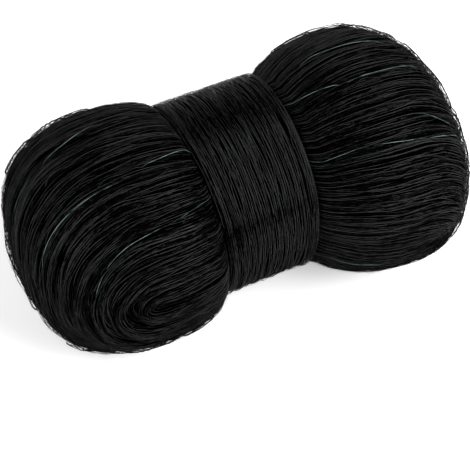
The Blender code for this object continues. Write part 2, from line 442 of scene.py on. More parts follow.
def tube_faces(count, steps, sides, closed):
    """The triangles of the tubes' walls and, where they aren't closed, of their ends."""
    strand, step, side = np.ogrid[:count, : steps - (not closed), :sides]
    strand = strand * steps * sides
    here = strand + step * sides
    there = strand + (step + 1) % steps * sides
    after = (side + 1) % sides
    a, b = here + side, here + after
    c, d = there + after, there + side
    walls = [stacked(a, b, c), stacked(a, c, d)]
    faces = [wall.reshape(-1, 3) for wall in walls]
    if not closed:
        start = strand.ravel()
        end = start + (steps - 1) * sides
        for k in range(1, sides - 1):
            faces.append(stacked(start, start + k + 1, start + k))
            faces.append(stacked(end, end + k, end + k + 1))
    return np.concatenate(faces)


def tube_map(count, steps, sides, closed):
    """The bake's map, a place for each corner of each of tube_faces.

    Each strand is a strip of its own, as long as the map is wide."""
    hops = steps - (not closed)
    strand, step, side = np.ogrid[:count, :hops, :sides]
    wide = sides + 2 * MAP_MARGIN
    low = strand / count + (side + MAP_MARGIN) / wide / count + 0 * step
    high = strand / count + (side + MAP_MARGIN + MAP_SIDE) / wide / count + 0 * step
    left = (step + MAP_GAP) / hops + 0 * low
    right = (step + 1) / hops - MAP_GAP / hops + 0 * low
    a, b = stacked(left, low), stacked(left, high)
    c, d = stacked(right, high), stacked(right, low)
    walls = [np.stack([a, b, c], -2), np.stack([a, c, d], -2)]
    places = [wall.reshape(-1, 2) for wall in walls]
    if not closed:
        middle = (np.arange(count) + 0.5) / count
        for end in (0.0, 1.0) * (sides - 2):
            corners = []
            for corner in range(3):
                x = 0 * middle + abs(end - CAP_LENGTH * corner)
                y = middle + CAP_WIDTH * (corner == 2)
                corners.append(stacked(x, y))
            places.append(np.stack(corners, 1).reshape(-1, 2))
    return np.concatenate(places)


def tubes(name, points, out, radius, material, shade, sides=3, closed=False):
    """Closed tubes along (strands, points, 3), as one object.

    radius is (strands, points) or one number. shade is (strands, points), 0 to 1."""
    count, steps = points.shape[:2]
    rings = tube_rings(points, out, radius, sides, closed).reshape(-1, 3)
    faces = tube_faces(count, steps, sides, closed)
    places = tube_map(count, steps, sides, closed)
    shades = np.repeat(np.broadcast_to(shade, (count, steps)).reshape(-1), sides)
    own = np.repeat(np.arange(count) * GOLDEN % 1, steps * sides)
    return new_mesh(name, rings, faces, material, shades, own, places)


# ------ materials
STREAK_SPREAD = 60.0  # how far apart in the noise the strands' own streaks lie
GRAIN_SCALE = 1100.0  # of the finest grain, in spots a metre
GRAIN_DEPTH = 0.9  # how much lighter and darker it makes a strand
RAMP_ENDS = (0.05, 0.95)  # the values that are darkest and lightest
ROUGHNESS_SPREAD = 0.08


def feed(tree, node, inputs):
    """Sets inputs, by name or number, to a number or colour, or links a socket."""
    for name, value in inputs.items():
        if isinstance(value, bpy.types.NodeSocket):
            tree.links.new(value, node.inputs[name])
        else:
            node.inputs[name].default_value = value


def add_node(tree, kind, inputs, **settings):
    node = tree.nodes.new("ShaderNode" + kind)
    for name, value in settings.items():
        setattr(node, name, value)
    feed(tree, node, inputs)
    return node


def add_scaled(tree, base, extra, amount):
    """base + amount * (extra - 0.5), as sockets."""
    centred = add_node(tree, "Math", {0: extra, 1: 0.5}, operation="SUBTRACT")
    inputs = {0: centred.outputs[0], 1: amount, 2: base}
    return add_node(tree, "Math", inputs, operation="MULTIPLY_ADD").outputs[0]


def net_material(name, dark, light, roughness=0.5, specular=0.03, dashes=1.4, dash=150):
    """Plastic twine. `shade` on the mesh runs from dark to light, and `own` gives each
    strand its own streaks of light and dark, as its fibres turn and catch the light.

    dashes is how strong those streaks are, and dash how many there are to a metre."""
    material = bpy.data.materials.new(name)
    material.use_nodes = True
    tree = material.node_tree
    place = add_node(tree, "TexCoord", {}).outputs["Object"]
    shade = add_node(tree, "Attribute", {}, attribute_name="shade").outputs["Fac"]
    own = add_node(tree, "Attribute", {}, attribute_name="own").outputs["Fac"]
    spread = add_node(tree, "Math", {0: own, 1: STREAK_SPREAD}, operation="MULTIPLY")
    inputs = {"Scale": dash, "Vector": place, "W": spread.outputs[0]}
    streak = add_node(tree, "TexNoise", inputs, noise_dimensions="4D")
    grain = add_node(tree, "TexNoise", {"Scale": GRAIN_SCALE, "Vector": place})
    grain = grain.outputs["Fac"]
    value = add_scaled(tree, shade, streak.outputs["Fac"], dashes)
    value = add_scaled(tree, value, grain, GRAIN_DEPTH)
    ramp = add_node(tree, "ValToRGB", {"Fac": value})
    for stop, colour, position in zip(ramp.color_ramp.elements, (dark, light), RAMP_ENDS):
        stop.color = (*colour, 1)
        stop.position = position
    smoothest, roughest = roughness - ROUGHNESS_SPREAD, roughness + ROUGHNESS_SPREAD
    inputs = {"Value": grain, "To Min": smoothest, "To Max": roughest}
    rough = add_node(tree, "MapRange", inputs)
    inputs = {"Base Color": ramp.outputs["Color"], "Roughness": rough.outputs["Result"]}
    inputs["Specular IOR Level"] = specular
    feed(tree, tree.nodes["Principled BSDF"], inputs)
    return material


# ------ the dark core
CORE_LINES = 120
CORE_STEPS = 96
CORE_DEPTH = 0.0026  # of the core's skin under the part's
CORE_SUNK = 0.001  # of the core's necks under the waist's skin

# The soft waves in the core's skin: what is added to the lobe's seed, their height, and
# their length across the strands and along them.
CORE_WAVES = table(
    "seed rise across along", (0, 0.0011, 0.01, 0.11), (1, 0.0007, 0.005, 0.09)
)


def core_lines(lobe):
    """(lines, points, 3) of the core's skin, from under the band and back."""
    turn = np.linspace(0, math.pi, CORE_LINES + 1)[:, None]
    share = np.linspace(0, 1, CORE_STEPS + 1)[None]
    x, s = turn * lobe.radius_y, share * STRAND_LENGTH
    relief = 0.0
    for wave in CORE_WAVES:
        waves = ripple(lobe.seed + wave.seed, wave.across, wave.along, x, s)
        relief = relief + wave.rise * waves
    height = relief * np.sin(turn) - CORE_DEPTH
    points, _ = strand_points(lobe, turn, share, height, sunk=CORE_SUNK)
    for line in (0, -1):  # a line at an eye folds back on itself
        points[line] = (points[line] + points[line][::-1]) / 2
    return points


def make_core(material):
    """One closed skin: the left lobe, the waist and the right lobe."""
    vertices, faces, mouths = [], [], []
    start = 0
    for lobe in (LEFT, RIGHT):
        lines = core_lines(lobe)
        rows, steps = lines.shape[:2]
        index = start + np.arange(rows * steps).reshape(rows, steps)
        for line in (0, rows - 1):  # its two halves are the same points
            index[line, steps // 2 :] = index[line, : steps // 2 + 1][::-1]
        a, b = index[:-1, :-1], index[:-1, 1:]
        c, d = index[1:, 1:], index[1:, :-1]
        quads = stacked(a, b, c, d).reshape(-1, 4)
        faces.append(quads if lobe.side > 0 else quads[:, ::-1])
        mouths.append(np.concatenate([index[:, 0], index[-2:0:-1, -1]]))
        vertices.append(lines.reshape(-1, 3))
        start += rows * steps
    left, right = mouths
    joined = stacked(left, np.roll(left, -1), np.roll(right, -1), right)
    faces.append(joined[:, ::-1])
    points = np.concatenate(vertices)
    used, faces = np.unique(np.concatenate(faces), return_inverse=True)
    faces = faces.reshape(-1, 4)
    return new_mesh("net_core", points[used], faces, material, np.zeros(len(used)))


# ------ the folded strands
# The layers of strands on a lobe, from the deepest: how many strands, the points along
# each, the depth and radius, the share of them that is light and how light, and how far
# each wanders sideways and up by itself. Lengths in metres.
# The under and middle layers are painted far darker than the upper ones: painted shade
# under the strands over them.
LAYERS = table(
    "name strands points depth radius share light sway lift",
    ("under", 96, 52, 0.003, 0.0007, 0.15, 0.08, 0.0004, 0.0002),
    ("middle", 140, 84, 0.0019, 0.0003, 0.12, 0.42, 0.0005, 0.0003),
    ("upper", 150, 104, 0.001, 0.00018, 0.8, 0.95, 0.0005, 0.0003),
    ("fine", 36, 104, 0.0004, 0.00014, 0.6, 0.75, 0.0007, 0.0003),
)
SLOT = (0.2, 0.8)  # where in its slot a strand may lie
CALM_UNDER = 0.45  # strands lie smoother where the sine of their turn is under this,
CALMEST = 0.12  # down to this share
STRAYS = 0.12  # the share that stray from their ropes
STRAY_SWAY = 0.0050
STRAY_LIFT = 0.0004
UNEVEN = 0.6  # how unevenly high whole strands lie, over how far each wanders up
LUCK = 0.3  # how much chance picks the light strands
DARK_STRAND = -0.12  # the shade of a strand that isn't light
SHADE_SPREAD = 0.12  # from strand to strand
SHADE_STREAKS = 0.20  # along a strand
PAINTED_LIGHT_RISE = 0.006  # a rope this high is painted lighter by 1: painted light on the ropes, painted shade between them

# How the strands draw together into ropes: the ropes' spacing and their length before
# they part again, how far a strand is drawn aside, and how high a rope stands.
GATHERS = table(
    "seed across along aside rise",
    (31, 0.0055, 0.22, 0.00036, 0.00035),
    (32, 0.011, 0.28, 0.0005, 0.00045),
    (33, 0.026, 0.36, 0.0008, 0.0004),
)
GATHER_STEPS = 24  # a rope's slope is taken over its spacing divided by this


def gathered(lobe, turn, s):
    """How far the ropes draw a strand aside, in metres, and how far they lift it."""
    aside, rise = 0.0, 0.0
    for gather in GATHERS:
        seed = lobe.seed * 100 + gather.seed
        x = turn * lobe.radius_y
        step = gather.across / GATHER_STEPS
        here = ripple(seed, gather.across, gather.along, x, s)
        beyond = ripple(seed, gather.across, gather.along, x + step, s)
        aside = aside + gather.aside * here
        slope = (here - beyond) / step * gather.across / (2 * math.pi)
        rise = rise + gather.rise * slope
    return aside * lobe.ropes, rise * lobe.ropes


def light_ones(rng, count, share):
    """Which strands are light: spread as evenly as the share allows, with some chance."""
    even = np.floor(np.arange(count + 1) * share)
    light = (even[1:] > even[:-1])[:, None]
    return light ^ (rng.random((count, 1)) < LUCK * share * (share < 1))


def lay_strands(lobe, layer, rng):
    """turn, share, height and shade of each strand of one layer."""
    count = layer.strands
    share = np.linspace(0, 1, layer.points)[None]
    s = share * STRAND_LENGTH
    place = (np.arange(count)[:, None] + rng.uniform(*SLOT, (count, 1))) / count
    turn = EYE_GAP + (math.pi - 2 * EYE_GAP) * place
    calm = np.clip(np.sin(turn) / CALM_UNDER, CALMEST, 1)
    aside, rise = gathered(lobe, turn, s)
    aside = aside + layer.sway * wobble(rng, count, s, longest=0.16, shortest=0.04)
    stray = rng.random((count, 1)) < STRAYS
    away = wobble(rng, count, s, longest=0.50, shortest=0.20, waves=2)
    aside = aside + stray * STRAY_SWAY * away
    lift = layer.lift * wobble(rng, count, s, longest=0.12, shortest=0.03)
    lift = lift + rng.normal(0, layer.lift * UNEVEN, (count, 1)) + stray * STRAY_LIFT
    turn = np.clip(turn + calm * aside / lobe.radius_y, EYE_GAP, math.pi - EYE_GAP)
    height = calm * rise + lift - layer.depth
    bright = light_ones(rng, count, layer.share)
    # Painted shade: the deeper layers' strands are painted darker, and the left lobe's as
    # a whole.
    shade = np.where(bright, layer.light + lobe.tone, DARK_STRAND)
    shade = shade + SHADE_SPREAD * rng.normal(0, 1, (count, 1))
    streaks = wobble(rng, count, s, longest=0.10, shortest=0.02)
    # Painted light: strands that the ropes lift are painted lighter, those between them
    # darker.
    shade = shade + SHADE_STREAKS * streaks + rise / PAINTED_LIGHT_RISE
    # Painted shade in the hollows and by the band, and painted light on the rises.
    shade = shade + patches(lobe, turn, share)[1]
    return turn, share, height, shade


UNDERSIDE_PAINTED_SHADE = 1.8  # how much darker the strands are painted where they face down: painted shade


def painted_underside_shade(shade, out):
    """Painted shade: darker where the surface faces down, and kept between 0 and 1."""
    return np.clip(shade + UNDERSIDE_PAINTED_SHADE * np.minimum(out[..., 2], 0), 0, 1)


def make_strands(lobe, material):
    """The lobe's strands, a piece for each layer."""
    made = []
    for number, layer in enumerate(LAYERS):
        rng = np.random.default_rng(lobe.seed + 10 * number)
        turn, share, height, shade = lay_strands(lobe, layer, rng)
        points, out = strand_points(lobe, turn, share, height, sunk=layer.depth)
        name = lobe.name + "_strands_" + layer.name
        # Painted shade where the strands face down.
        shade = painted_underside_shade(padded_ends(shade), out)
        made.append(tubes(name, points, out, layer.radius, material, shade))
    return made


# ------ the loose net
# Loose net over the ropes. Pairs of its strands run side by side and meet at knots, and
# short chains of small loops stand off the lobe, some along its strands and some across.
MESH_PAIRS = 18
MESH_STEP = 0.0023  # along a strand, from one knot to the next
MESH_REACH = 0.0006  # a strand goes this far to each side, at most
MESH_MARGIN = 0.05  # angle between an eye and where the pairs begin
MESH_SWAY = 0.0025
MESH_RISE = 0.0004  # how high a pair stands where it is closed
MESH_OPEN_RISE = 0.0006  # how much higher it stands where it is open
MESH_SINK = 0.0010  # how deep it lies at the band
MESH_FREE = 0.2  # it comes up over this share of the strands
MESH_CALMEST = 0.1
MESH_RADIUS = 0.00017

CHAINS = 80  # of loops, anywhere on a lobe
CHAIN_LOOPS = 10
CHAIN_STARTS = (0.04, 0.86)  # where along the strands one may start
CHAIN_TURNS = (-0.98, 0.98)  # the cosine of its turn
CHAIN_SWAY = 0.0015
LOOP = 0.0044  # from knot to knot
LOOP_POINTS = 5
ALONG_CHAIN = np.linspace(0, 1, CHAIN_LOOPS * LOOP_POINTS + 1)[None]
LOOP_RISE = 0.0013
LOOP_RADIUS = 0.00018
LOOP_SINK = 0.0001  # how deep the knots lie in the lobe's skin
LOOP_ROUNDNESS = 0.4  # a power: under 1, fuller than a sine's arch

# A fringe of at most this many chains, on the hank's outline, has a thread along the
# tops of its loops too: its height as a share of theirs, and its radius likewise.
RAIL_CHAINS = 2
RAIL_HEIGHT = 0.85
RAIL_RADIUS = 0.70

# Fringes, where the net's folded edge lies across the strands in loops: the angle and
# the place along the strands of its two ends, how far it spreads to each side along
# the strands, its length, how many chains of loops are in it, a loop's length and
# height, the strand's radius and how light it is. Lengths in metres.
FRINGES = table(
    "lobe angle_first angle_last first last spread length chains loop rise radius light",
    ("right", 116, 10, 0.24, 0.44, 0.032, 0.19, 60, 0.0026, 0.0011, 0.00018, 0.3),
    ("right", 9, 16, 0.46, 0.8, 0.02, 0.06, 12, 0.0026, 0.0016, 0.00018, 0.4),
    ("right", 158, 149, 0.1, 0.19, 0.001, 0.048, 1, 0.006, 0.0014, 0.0005, 0),
    ("right", 140, 112, 0.24, 0.303, 0.001, 0.055, 1, 0.005, 0.0012, 0.0005, 0),
    ("right", 110, 78, 0.305, 0.355, 0.001, 0.06, 2, 0.004, 0.0011, 0.0005, 0),
    ("right", 76, 30, 0.36, 0.435, 0.001, 0.085, 2, 0.0036, 0.0012, 0.0005, 0),
    ("right", 26, 12, 0.44, 0.62, 0.001, 0.05, 1, 0.0034, 0.001, 0.0005, 0),
    ("left", 126, 128, 0.12, 0.29, 0.001, 0.076, 1, 0.0078, 0.0024, 0.00066, 0),
    ("left", 127, 121, 0.28, 0.37, 0.001, 0.046, 1, 0.006, 0.0023, 0.00066, 0),
    ("left", 109, 90, 0.445, 0.54, 0.001, 0.055, 1, 0.005, 0.0014, 0.0005, 0),
    ("left", 88, 79, 0.548, 0.585, 0.001, 0.024, 1, 0.0034, 0.002, 0.0005, 0),
    ("left", 66, 57, 0.64, 0.685, 0.001, 0.028, 1, 0.0042, 0.0016, 0.0005, 0),
    ("left", 39, 34, 0.88, 0.97, 0.001, 0.04, 1, 0.01, 0.0014, 0.0005, 0),
    ("left", 49, 41, 0.74, 0.86, 0.001, 0.05, 1, 0.012, 0.0018, 0.0005, 0),
)
FRINGE_TURN = 45  # degrees between its chains, for a spread of 1


def make_mesh(lobe, material):
    rng = np.random.default_rng(lobe.seed + 800)
    steps = round(STRAND_LENGTH / MESH_STEP)
    share = np.linspace(0.0, 1.0, steps)[None]
    s = share * STRAND_LENGTH
    middle = (np.arange(MESH_PAIRS)[:, None] + rng.random((MESH_PAIRS, 1))) / MESH_PAIRS
    middle = MESH_MARGIN + (math.pi - 2 * MESH_MARGIN) * middle
    aside, rise = gathered(lobe, middle, s)
    aside = aside + MESH_SWAY * wobble(rng, MESH_PAIRS, s, longest=0.30, shortest=0.08)
    opening = 0.6 + 0.6 * wobble(rng, MESH_PAIRS, s, longest=0.08, shortest=0.03)
    opening = np.clip(opening, 0, 1)
    swing = MESH_REACH * opening * (-1.0) ** np.arange(steps)
    one = middle + (aside + swing) / lobe.radius_y
    other = middle + (aside - swing) / lobe.radius_y
    turn = np.clip(np.concatenate([one, other]), EYE_GAP, math.pi - EYE_GAP)
    calm = np.clip(np.sin(middle) / CALM_UNDER, MESH_CALMEST, 1)
    free = np.clip(from_ends(share) / MESH_FREE, 0, 1)
    stand = MESH_RISE + MESH_OPEN_RISE * opening + rise
    stand = calm * free * stand - MESH_SINK * (1 - free)
    height = np.concatenate([stand + swing * 0.5, stand - swing * 0.5])
    points, out = strand_points(lobe, turn, share, height)
    # Painted shade where the pairs face down.
    shade = painted_underside_shade(rng.normal(0.2, 0.2, (len(turn), 1)), out)
    return tubes(lobe.name + "_mesh", points, out, MESH_RADIUS, material, shade)


def loops(rng, count):
    """How high a chain of loops stands along itself, mostly 0 to 1, and 0 at its ends."""
    sway = wobble(rng, count, ALONG_CHAIN, longest=0.6, shortest=0.2)
    beat = CHAIN_LOOPS * ALONG_CHAIN + 0.30 * sway
    arch = np.abs(np.sin(math.pi * beat)) ** LOOP_ROUNDNESS
    stands = 0.8 + 0.4 * wobble(rng, count, ALONG_CHAIN, longest=1.1, shortest=0.35)
    ends = np.clip(2 * CHAIN_LOOPS * from_ends(ALONG_CHAIN), 0, 1)
    return arch * ends * np.clip(stands, 0.2, 1.1)


def fringe_lines(lobe, rng):
    """turn, share, height, radius and shade of the chains of loops in the fringes."""
    lines = []
    for fringe in FRINGES:
        if fringe.lobe != lobe.name:
            continue
        count = fringe.chains
        reach = min(1, CHAIN_LOOPS * fringe.loop / fringe.length)
        place = np.linspace(0, 1 - reach, count)[:, None] + reach * ALONG_CHAIN
        waver = rng.normal(0, 0.6, (count, 1))
        waver = waver + 0.3 * wobble(rng, count, ALONG_CHAIN, longest=0.8, shortest=0.2)
        angle = between(fringe.angle_first, fringe.angle_last, place)
        angle = angle + FRINGE_TURN * fringe.spread * rng.normal(0, 1, (count, 1))
        turn = np.radians(angle)
        share = between(fringe.first, fringe.last, place) + fringe.spread * waver
        height = fringe.rise * loops(rng, count)
        radius = np.full(height.shape, fringe.radius)
        shade = fringe.light * (1 + 0.6 * rng.normal(0, 1, (count, 1))) + 0 * height
        lines.append((turn, share, height, radius, shade))
        if count <= RAIL_CHAINS:
            top = np.clip(CHAIN_LOOPS * from_ends(ALONG_CHAIN), 0, 1)
            rail = RAIL_HEIGHT * fringe.rise * top + 0 * height
            lines.append((turn, share, rail, RAIL_RADIUS * radius, shade))
    return [np.concatenate(column) for column in zip(*lines)]


def loose_lines(lobe, rng):
    """The same of the chains of loops that lie anywhere on the lobe."""
    distance = ALONG_CHAIN * CHAIN_LOOPS * LOOP
    turn = np.arccos(rng.uniform(*CHAIN_TURNS, (CHAINS, 1)))
    sway = wobble(rng, CHAINS, distance, longest=0.05, shortest=0.02)
    turn = turn + CHAIN_SWAY / lobe.radius_y * sway
    share = rng.uniform(*CHAIN_STARTS, (CHAINS, 1)) + distance / STRAND_LENGTH
    height = LOOP_RISE * loops(rng, CHAINS)
    radius = np.full(height.shape, LOOP_RADIUS)
    shade = rng.normal(0.25, 0.2, (CHAINS, 1)) + 0 * height
    return turn, share, height, radius, shade


def make_loops(lobe, material):
    rng = np.random.default_rng(lobe.seed + 900)
    loose = loose_lines(lobe, rng)
    together = [np.concatenate(pair) for pair in zip(loose, fringe_lines(lobe, rng))]
    turn, share, height, radius, shade = together
    turn = np.clip(turn, EYE_GAP, math.pi - EYE_GAP)
    points, out = lobe_skin(lobe, turn, share, height - LOOP_SINK)
    # Painted shade where the loops face down.
    shade = painted_underside_shade(shade, out)
    name = lobe.name + "_loops"
    return tubes(name, above_ground(points), out, radius, material, shade)


# ------ the waist band
# The dark mass under the band's turns, from its middle to its edge: the place across
# the band, 0 to 1, and its height over the waist's skin.
BAND_CORE = table(
    "place rise",
    (0, 0.0044),
    (0.5, 0.0044),
    (0.8, 0.0042),
    (0.9, 0.0042),
    (0.97, 0.0032),
    (0.97, 0.0004),
)

# The turns of the band, from the deepest: how many, how far under the band's skin, their
# radius, the share that is light and how light, and how far each wanders sideways.
# The under turns are painted darker than those over them: painted shade beneath the upper
# turns.
BAND_LAYERS = table(
    "name count depth radius share light sway",
    ("under", 86, 0.001, 0.00042, 0.5, 0.18, 0.0003),
    ("upper", 44, 0, 0.00017, 1, 0.95, 0.0002),
    ("top", 40, -0.0002, 0.00014, 1, 0.9, 0.0016),
)
BAND_RISE = 0.0050  # of the band's skin over the waist's
TURNS_REACH = 0.985  # the outermost turns' place across the band, 0 to 1
TURNS_LIMIT = 0.99  # no turn wanders past this
UNEVEN_PLACE = 0.004
UNEVEN_RISE = 0.0004
SLANT_RISE = 0.0003  # a turn rises and falls as it wanders
# Painted light: a turn is painted lighter where it rises as it wanders, and darker where
# it sinks.
SLANT_PAINTED_LIGHT = 0.03
SLANT_WAVES = 4  # waves that make up how a turn wanders
SLANT_CYCLES = (2, 11)  # each goes to and fro 2 to 10 times round the band
EDGE_CALM = 0.10  # turns nearer the edge than this wander less,
EDGE_CALMEST = 0.12  # down to this share
DARK_TURN = 0.05  # the shade of a turn that isn't light
GROOVE_PAINTED_SHADE = 0.2  # how much darker the groove is painted: painted shade in it

# Near the band's edges: a bundle of turns that stands proud, a groove beside it and a
# lip that drops away. Each has its place from the middle, 0 to 1, its width and height.
BUNDLE, GROOVE, LIP = table(
    "place width rise",
    (0.9, 0.08, 0.0009),
    (0.79, 0.022, -0.0009),
    (0.95, 0.04, -0.0022),
)

# Where small bundles of turns stand proud, on the band's top and underside: the angle
# about its axis and the half width in degrees, and their height.
RIDGES = table("angle half_width rise", (52, 16, 0.00022), (208, 20, 0.0008))
RIDGE_SPACING = 0.0042

# Painted light and shade round the band: painted light where its turns face the lamps and
# along its top rim, and painted shade on its top, in its crease, along one edge and
# underneath. Each has the angle about its axis and the half width in degrees, the middle
# across the band, -1 to 1, how much of the band's width it takes, and how much lighter it
# is painted.
BAND_PAINTED_SHADING = table(
    "angle half_width middle reach light",
    (58, 10, 0, 9, 0.2),
    (91, 13, 0, 1, -0.75),
    (109, 9, 0.1, 0.8, 0.6),
    (125, 17, 0, 9, 0.2),
    (154, 4, 0, 2, -0.45),
    (156, 14, -1, 0.4, -0.4),
    (190, 30, 0, 9, -0.28),
    (262, 20, 0, 0.8, -0.3),
    (330, 14, 0, 0.8, -0.3),
)


def across_band(place, angle):
    """How far along the hank a place across the band is: -1 to 1 from edge to edge."""
    left, right = band_edge(-1, angle), band_edge(1, angle)
    return (left + right) / 2 + place * (right - left) / 2


def away_from_waist(x, angle):
    return around_waist(0 * x, angle, 1.0 + 0 * x) - WAIST


def make_band_core(material):
    """The dark mass under the band's turns: one closed ring."""
    angle = ROUND[:, None]
    left = [(-row.place, row.rise) for row in BAND_CORE[:0:-1]]
    place, rise = np.array([*left, *BAND_CORE]).T
    x = across_band(place, angle)
    ring = around_waist(x, angle, waist_radius(angle) + rise)
    rows, steps = ring.shape[:2]
    index = np.arange(rows * steps).reshape(rows, steps)
    a, b = index, np.roll(index, -1, 1)
    c, d = np.roll(b, -1, 0), np.roll(index, -1, 0)
    faces = stacked(a, b, c, d).reshape(-1, 4)[:, ::-1]
    shade = np.zeros(rows * steps)
    return new_mesh("band_core", ring.reshape(-1, 3), faces, material, shade)


# Painted light and shade round the band, summed from its table.
def painted_band_shading(place, angle):
    light = 0.0
    for tone in BAND_PAINTED_SHADING:
        off = (np.degrees(angle) - tone.angle) / tone.half_width
        across = (place - tone.middle) / tone.reach
        light = light + tone.light * np.exp(-(off**2) - across**4)
    return light


def ridges(x, angle):
    """How high the small bundles of turns stand there."""
    height = 0.0
    for ridge in RIDGES:
        off = (np.degrees(angle) - ridge.angle) / ridge.half_width
        height = height + ridge.rise * np.exp(-(off**2))
    return height * np.sin(2 * math.pi * x / RIDGE_SPACING + 1.5 * np.sin(x * 180))


def slants(rng, angle, count):
    """How each turn wanders to and fro on its way round, about -1 to 1."""
    cycles = np.zeros((count, BAND_POINTS))
    for _ in range(SLANT_WAVES):
        times = rng.integers(*SLANT_CYCLES, (count, 1))
        cycles += np.sin(times * angle + rng.uniform(0, 2 * math.pi, (count, 1)))
    return cycles / math.sqrt(SLANT_WAVES)


def make_band(material):
    """The turns of the band: rings of strand, side by side, that cross at a slant."""
    made = []
    for number, layer in enumerate(BAND_LAYERS):
        count = layer.count
        rng = np.random.default_rng(500 + number)
        angle = ROUND[None]
        place = np.linspace(-TURNS_REACH, TURNS_REACH, count)[:, None]
        place = place + rng.normal(0, UNEVEN_PLACE, (count, 1))
        slant = slants(rng, angle, count)
        inward = np.clip((1 - np.abs(place)) / EDGE_CALM, EDGE_CALMEST, 1)
        place = place + slant * inward * layer.sway / (BAND_WIDTH / 2)
        place = np.clip(place, -TURNS_LIMIT, TURNS_LIMIT)
        off = np.abs(place)
        bundle = np.clip(1 - ((off - BUNDLE.place) / BUNDLE.width) ** 2, 0, 1)
        groove = np.exp(-(((off - GROOVE.place) / GROOVE.width) ** 2))
        rise = BAND_RISE + BUNDLE.rise * bundle + GROOVE.rise * groove - layer.depth
        rise = rise + LIP.rise * np.clip((off - LIP.place) / LIP.width, 0, 1)
        rise = rise + ridges(place * BAND_WIDTH / 2, angle)
        rise = rise + SLANT_RISE * slant
        rise = rise + rng.uniform(-UNEVEN_RISE, UNEVEN_RISE, (count, 1))
        x = across_band(place, angle)
        points = around_waist(x, angle, waist_radius(angle) + rise)
        out = away_from_waist(x, angle)
        bright = light_ones(rng, count, layer.share)
        # Painted shade: the under turns are painted darker than those over them.
        shade = np.where(bright, layer.light, DARK_TURN)
        shade = shade + SHADE_SPREAD * rng.normal(0, 1, (count, 1))
        # Painted light where a turn rises, and painted light and shade round the band.
        shade = shade + SLANT_PAINTED_LIGHT * slant + painted_band_shading(place, angle)
        # Painted shade in the groove and where the band faces down.
        shade = painted_underside_shade(shade - GROOVE_PAINTED_SHADE * groove, unit(out))
        name = "band_turns_" + layer.name
        made.append(tubes(name, points, out, layer.radius, material, shade, closed=True))
    return made


FUZZ_STRANDS = 240
FUZZ_POINTS = 14
FUZZ_RADIUS = 0.00010
# The fuzz's shade: it is painted light, a painted sheen.
FUZZ_SHEEN = 0.7
FUZZ_FOOT = 0.0046  # how far over the waist's skin their ends are
FUZZ_RISE = (0.0008, 0.0022)  # how much higher their middles are


def make_band_fuzz(material):
    """Fine loose turns that stand off the band's top, painted far lighter than the band's
    twine: a painted sheen where they catch the light.
    """
    rng = np.random.default_rng(520)
    count = FUZZ_STRANDS
    along = np.linspace(0, 1, FUZZ_POINTS)[None]
    middle = rng.normal(46, 7, (count, 1))
    half = rng.uniform(6, 14, (count, 1))
    angle = np.radians(middle + half * (2 * along - 1))
    place = rng.uniform(-0.97, 0.97, (count, 1))
    place = place + 0.02 * wobble(rng, count, angle, longest=0.8, shortest=0.2)
    x = place * BAND_WIDTH / 2 + BAND_FLARE * 0.2 * place
    arch = np.sin(math.pi * along) ** 0.6
    rise = FUZZ_FOOT + rng.uniform(*FUZZ_RISE, (count, 1)) * arch
    points = around_waist(x, angle, waist_radius(angle) + rise)
    out = away_from_waist(x, angle)
    shade = np.full(points.shape[:2], FUZZ_SHEEN)
    return tubes("band_fuzz", points, out, FUZZ_RADIUS, material, shade)


# ------ marker threads
# Where the marker threads show: the angle from the near eye in degrees where a stretch
# comes up from under the strands and where it dips again, how far along the lobe's
# strands, 0 to 1, those are, and how light it is in its middle.
THREADS = table(
    "lobe angle_first angle_last first last light",
    (LEFT, 98, 91, 0.12, 0.27, 0.9),
    (LEFT, 91, 90, 0.29, 0.38, 0.5),
    (LEFT, 68, 65, 0, 0.1, 0.9),
    (LEFT, 62, 63, 0.15, 0.43, 1.1),
    (LEFT, 41, 37, 0, 0.12, 0.3),
    (LEFT, 37, 34, 0.14, 0.33, 1.1),
    (LEFT, 33, 31, 0.35, 0.43, 0.6),
    (RIGHT, 115, 108, 0.05, 0.22, 0.9),
    (RIGHT, 97, 92, 0, 0.08, 1.2),
    (RIGHT, 92, 91, 0.09, 0.26, 0.9),
    (RIGHT, 69, 64, 0.19, 0.3, 0.6),
    (RIGHT, 60, 62, 0, 0.07, 0.6),
    (RIGHT, 61, 58, 0.09, 0.2, 0.8),
    (RIGHT, 58, 60, 0.2, 0.32, 0.8),
    (RIGHT, 10, 7, 1, 0.8, 0.5),
    (LEFT, 125, 119, 0.4, 0.85, 0.8),
    (LEFT, 149, 145, 0.2, 0.7, 0.8),
    (RIGHT, 132, 138, 0.35, 0.8, 0.8),
    (RIGHT, 84, 90, 1, 0.55, 0.8),
    (LEFT, 85, 79, 1, 0.6, 0.8),
)
THREAD_STEPS = 60
THREAD_RADIUS = 0.00016
THREAD_RISE = 0.0006  # over the lobe's skin, where it shows
THREAD_DIP = 0.0022  # how much lower its ends are
THREAD_SLOPE = 7  # it comes up over one part in this many of its length
THREAD_SUNK = -0.0008  # in its neck: under 0 is over the waist's skin
THREAD_SWAY = 0.0004 / 0.09  # sideways, in radians: 0.4 mm on a lobe of 90 mm
THREAD_DARKEST = 0.05


